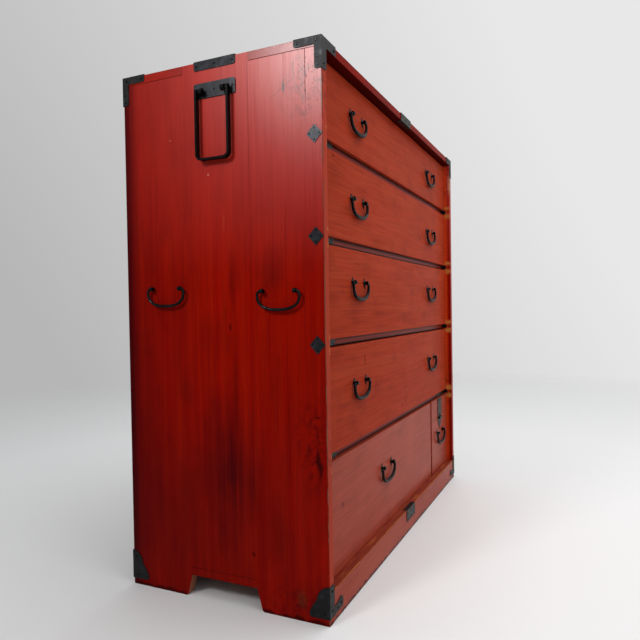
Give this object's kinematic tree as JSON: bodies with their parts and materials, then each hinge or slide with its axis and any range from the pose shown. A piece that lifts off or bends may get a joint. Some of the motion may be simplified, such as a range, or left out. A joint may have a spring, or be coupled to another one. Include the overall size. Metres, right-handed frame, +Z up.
{
  "type": "tansu chest of drawers",
  "caption": "Tall red lacquered chest of drawers with iron corner mounts, drop handles that swing, sliding drawers, a bolt lock and pole handles at the sides",
  "frame": {"origin": "on the floor, under the middle of the overall box of the chest with its handles hanging", "axes": "+X to the right seen from the front, +Y from the drawer fronts to the back, +Z up"},
  "size_m": [1.01, 0.4304, 1.0012],
  "materials": {
    "red_lacquered_wood": "worn glossy lacquer",
    "bare_wood": "planed, unfinished",
    "wrought_iron": "blackened, slightly worn"
  },
  "bodies": {
    "case": {"side_handle_posts": "wrought_iron", "pole_handle_posts": "wrought_iron", "pole_handle_plates": "wrought_iron", "top_corner_irons": "wrought_iron", "foot_corner_irons": "wrought_iron", "edge_straps": "wrought_iron", "diamond_plates": "wrought_iron", "rail_end_irons": "wrought_iron", "left_side": "red_lacquered_wood", "right_side": "red_lacquered_wood", "top_board": "red_lacquered_wood", "bottom_board": "red_lacquered_wood", "base_apron": "red_lacquered_wood", "back_boards": "bare_wood", "front_rails": "red_lacquered_wood", "dust_panels": "bare_wood", "drawer_divider": "red_lacquered_wood"},
    "drawer_1": {"drawer_1_front": "red_lacquered_wood", "drawer_1_walls": "bare_wood", "drawer_1_bottom": "bare_wood", "drawer_1_handle_posts": "wrought_iron"},
    "drawer_2": {"drawer_2_front": "red_lacquered_wood", "drawer_2_walls": "bare_wood", "drawer_2_bottom": "bare_wood", "drawer_2_handle_posts": "wrought_iron"},
    "drawer_3": {"drawer_3_front": "red_lacquered_wood", "drawer_3_walls": "bare_wood", "drawer_3_bottom": "bare_wood", "drawer_3_handle_posts": "wrought_iron"},
    "drawer_4": {"drawer_4_front": "red_lacquered_wood", "drawer_4_walls": "bare_wood", "drawer_4_bottom": "bare_wood", "drawer_4_handle_posts": "wrought_iron"},
    "wide_drawer": {"wide_drawer_front": "red_lacquered_wood", "wide_drawer_walls": "bare_wood", "wide_drawer_bottom": "bare_wood", "wide_drawer_handle_posts": "wrought_iron"},
    "small_drawer": {"small_drawer_front": "red_lacquered_wood", "small_drawer_walls": "bare_wood", "small_drawer_bottom": "bare_wood", "small_drawer_handle_posts": "wrought_iron", "lock_plate": "wrought_iron", "lock_back_plate": "wrought_iron"},
    "drawer_1_left_handle": {"drawer_1_left_handle": "wrought_iron"},
    "drawer_1_right_handle": {"drawer_1_right_handle": "wrought_iron"},
    "drawer_2_left_handle": {"drawer_2_left_handle": "wrought_iron"},
    "drawer_2_right_handle": {"drawer_2_right_handle": "wrought_iron"},
    "drawer_3_left_handle": {"drawer_3_left_handle": "wrought_iron"},
    "drawer_3_right_handle": {"drawer_3_right_handle": "wrought_iron"},
    "drawer_4_left_handle": {"drawer_4_left_handle": "wrought_iron"},
    "drawer_4_right_handle": {"drawer_4_right_handle": "wrought_iron"},
    "wide_drawer_handle": {"wide_drawer_handle": "wrought_iron"},
    "small_drawer_handle": {"small_drawer_handle": "wrought_iron"},
    "left_front_side_handle": {"left_front_side_handle": "wrought_iron"},
    "left_back_side_handle": {"left_back_side_handle": "wrought_iron"},
    "left_pole_handle": {"left_pole_handle": "wrought_iron"},
    "right_front_side_handle": {"right_front_side_handle": "wrought_iron"},
    "right_back_side_handle": {"right_back_side_handle": "wrought_iron"},
    "right_pole_handle": {"right_pole_handle": "wrought_iron"},
    "lock_bolt": {"lock_bolt": "wrought_iron"}
  },
  "joints": [
    {"name": "drawer_1_slide", "type": "slide", "parent": "case", "child": "drawer_1", "axis": [0, -1, 0], "range_m": [0, 0.33]},
    {"name": "drawer_2_slide", "type": "slide", "parent": "case", "child": "drawer_2", "axis": [0, -1, 0], "range_m": [0, 0.33]},
    {"name": "drawer_3_slide", "type": "slide", "parent": "case", "child": "drawer_3", "axis": [0, -1, 0], "range_m": [0, 0.33]},
    {"name": "drawer_4_slide", "type": "slide", "parent": "case", "child": "drawer_4", "axis": [0, -1, 0], "range_m": [0, 0.33]},
    {"name": "wide_drawer_slide", "type": "slide", "parent": "case", "child": "wide_drawer", "axis": [0, -1, 0], "range_m": [0, 0.33]},
    {"name": "small_drawer_slide", "type": "slide", "parent": "case", "child": "small_drawer", "axis": [0, -1, 0], "range_m": [0, 0.33]},
    {"name": "drawer_1_left_handle_swing", "type": "hinge", "parent": "drawer_1", "child": "drawer_1_left_handle", "pos_m": [-0.285, -0.202, 0.9209], "axis": [-1, 0, 0], "range_deg": [-2, 182]},
    {"name": "drawer_1_right_handle_swing", "type": "hinge", "parent": "drawer_1", "child": "drawer_1_right_handle", "pos_m": [0.285, -0.202, 0.9209], "axis": [-1, 0, 0], "range_deg": [-2, 182]},
    {"name": "drawer_2_left_handle_swing", "type": "hinge", "parent": "drawer_2", "child": "drawer_2_left_handle", "pos_m": [-0.285, -0.202, 0.7559], "axis": [-1, 0, 0], "range_deg": [-2, 182]},
    {"name": "drawer_2_right_handle_swing", "type": "hinge", "parent": "drawer_2", "child": "drawer_2_right_handle", "pos_m": [0.285, -0.202, 0.7559], "axis": [-1, 0, 0], "range_deg": [-2, 182]},
    {"name": "drawer_3_left_handle_swing", "type": "hinge", "parent": "drawer_3", "child": "drawer_3_left_handle", "pos_m": [-0.285, -0.202, 0.59315], "axis": [-1, 0, 0], "range_deg": [-2, 182]},
    {"name": "drawer_3_right_handle_swing", "type": "hinge", "parent": "drawer_3", "child": "drawer_3_right_handle", "pos_m": [0.285, -0.202, 0.59315], "axis": [-1, 0, 0], "range_deg": [-2, 182]},
    {"name": "drawer_4_left_handle_swing", "type": "hinge", "parent": "drawer_4", "child": "drawer_4_left_handle", "pos_m": [-0.285, -0.202, 0.3959], "axis": [-1, 0, 0], "range_deg": [-2, 182]},
    {"name": "drawer_4_right_handle_swing", "type": "hinge", "parent": "drawer_4", "child": "drawer_4_right_handle", "pos_m": [0.285, -0.202, 0.3959], "axis": [-1, 0, 0], "range_deg": [-2, 182]},
    {"name": "wide_drawer_handle_swing", "type": "hinge", "parent": "wide_drawer", "child": "wide_drawer_handle", "pos_m": [-0.125, -0.202, 0.1874], "axis": [-1, 0, 0], "range_deg": [-2, 182]},
    {"name": "small_drawer_handle_swing", "type": "hinge", "parent": "small_drawer", "child": "small_drawer_handle", "pos_m": [0.379, -0.202, 0.1669], "axis": [-1, 0, 0], "range_deg": [-2, 178]},
    {"name": "left_front_side_handle_swing", "type": "hinge", "parent": "case", "child": "left_front_side_handle", "pos_m": [-0.498, -0.128, 0.575], "axis": [0, 1, 0], "range_deg": [-5, 185]},
    {"name": "left_back_side_handle_swing", "type": "hinge", "parent": "case", "child": "left_back_side_handle", "pos_m": [-0.498, 0.115, 0.585], "axis": [0, 1, 0], "range_deg": [-5, 185]},
    {"name": "left_pole_handle_swing", "type": "hinge", "parent": "case", "child": "left_pole_handle", "pos_m": [-0.4995, 0, 0.942], "axis": [0, 1, 0], "range_deg": [-1.5, 182]},
    {"name": "right_front_side_handle_swing", "type": "hinge", "parent": "case", "child": "right_front_side_handle", "pos_m": [0.498, -0.128, 0.575], "axis": [0, -1, 0], "range_deg": [-5, 185]},
    {"name": "right_back_side_handle_swing", "type": "hinge", "parent": "case", "child": "right_back_side_handle", "pos_m": [0.498, 0.115, 0.585], "axis": [0, -1, 0], "range_deg": [-5, 185]},
    {"name": "right_pole_handle_swing", "type": "hinge", "parent": "case", "child": "right_pole_handle", "pos_m": [0.4995, 0, 0.942], "axis": [0, -1, 0], "range_deg": [-1.5, 182]},
    {"name": "lock_bolt_slide", "type": "slide", "parent": "small_drawer", "child": "lock_bolt", "axis": [0, 0, 1], "range_m": [0, 0.01]}
  ]
}
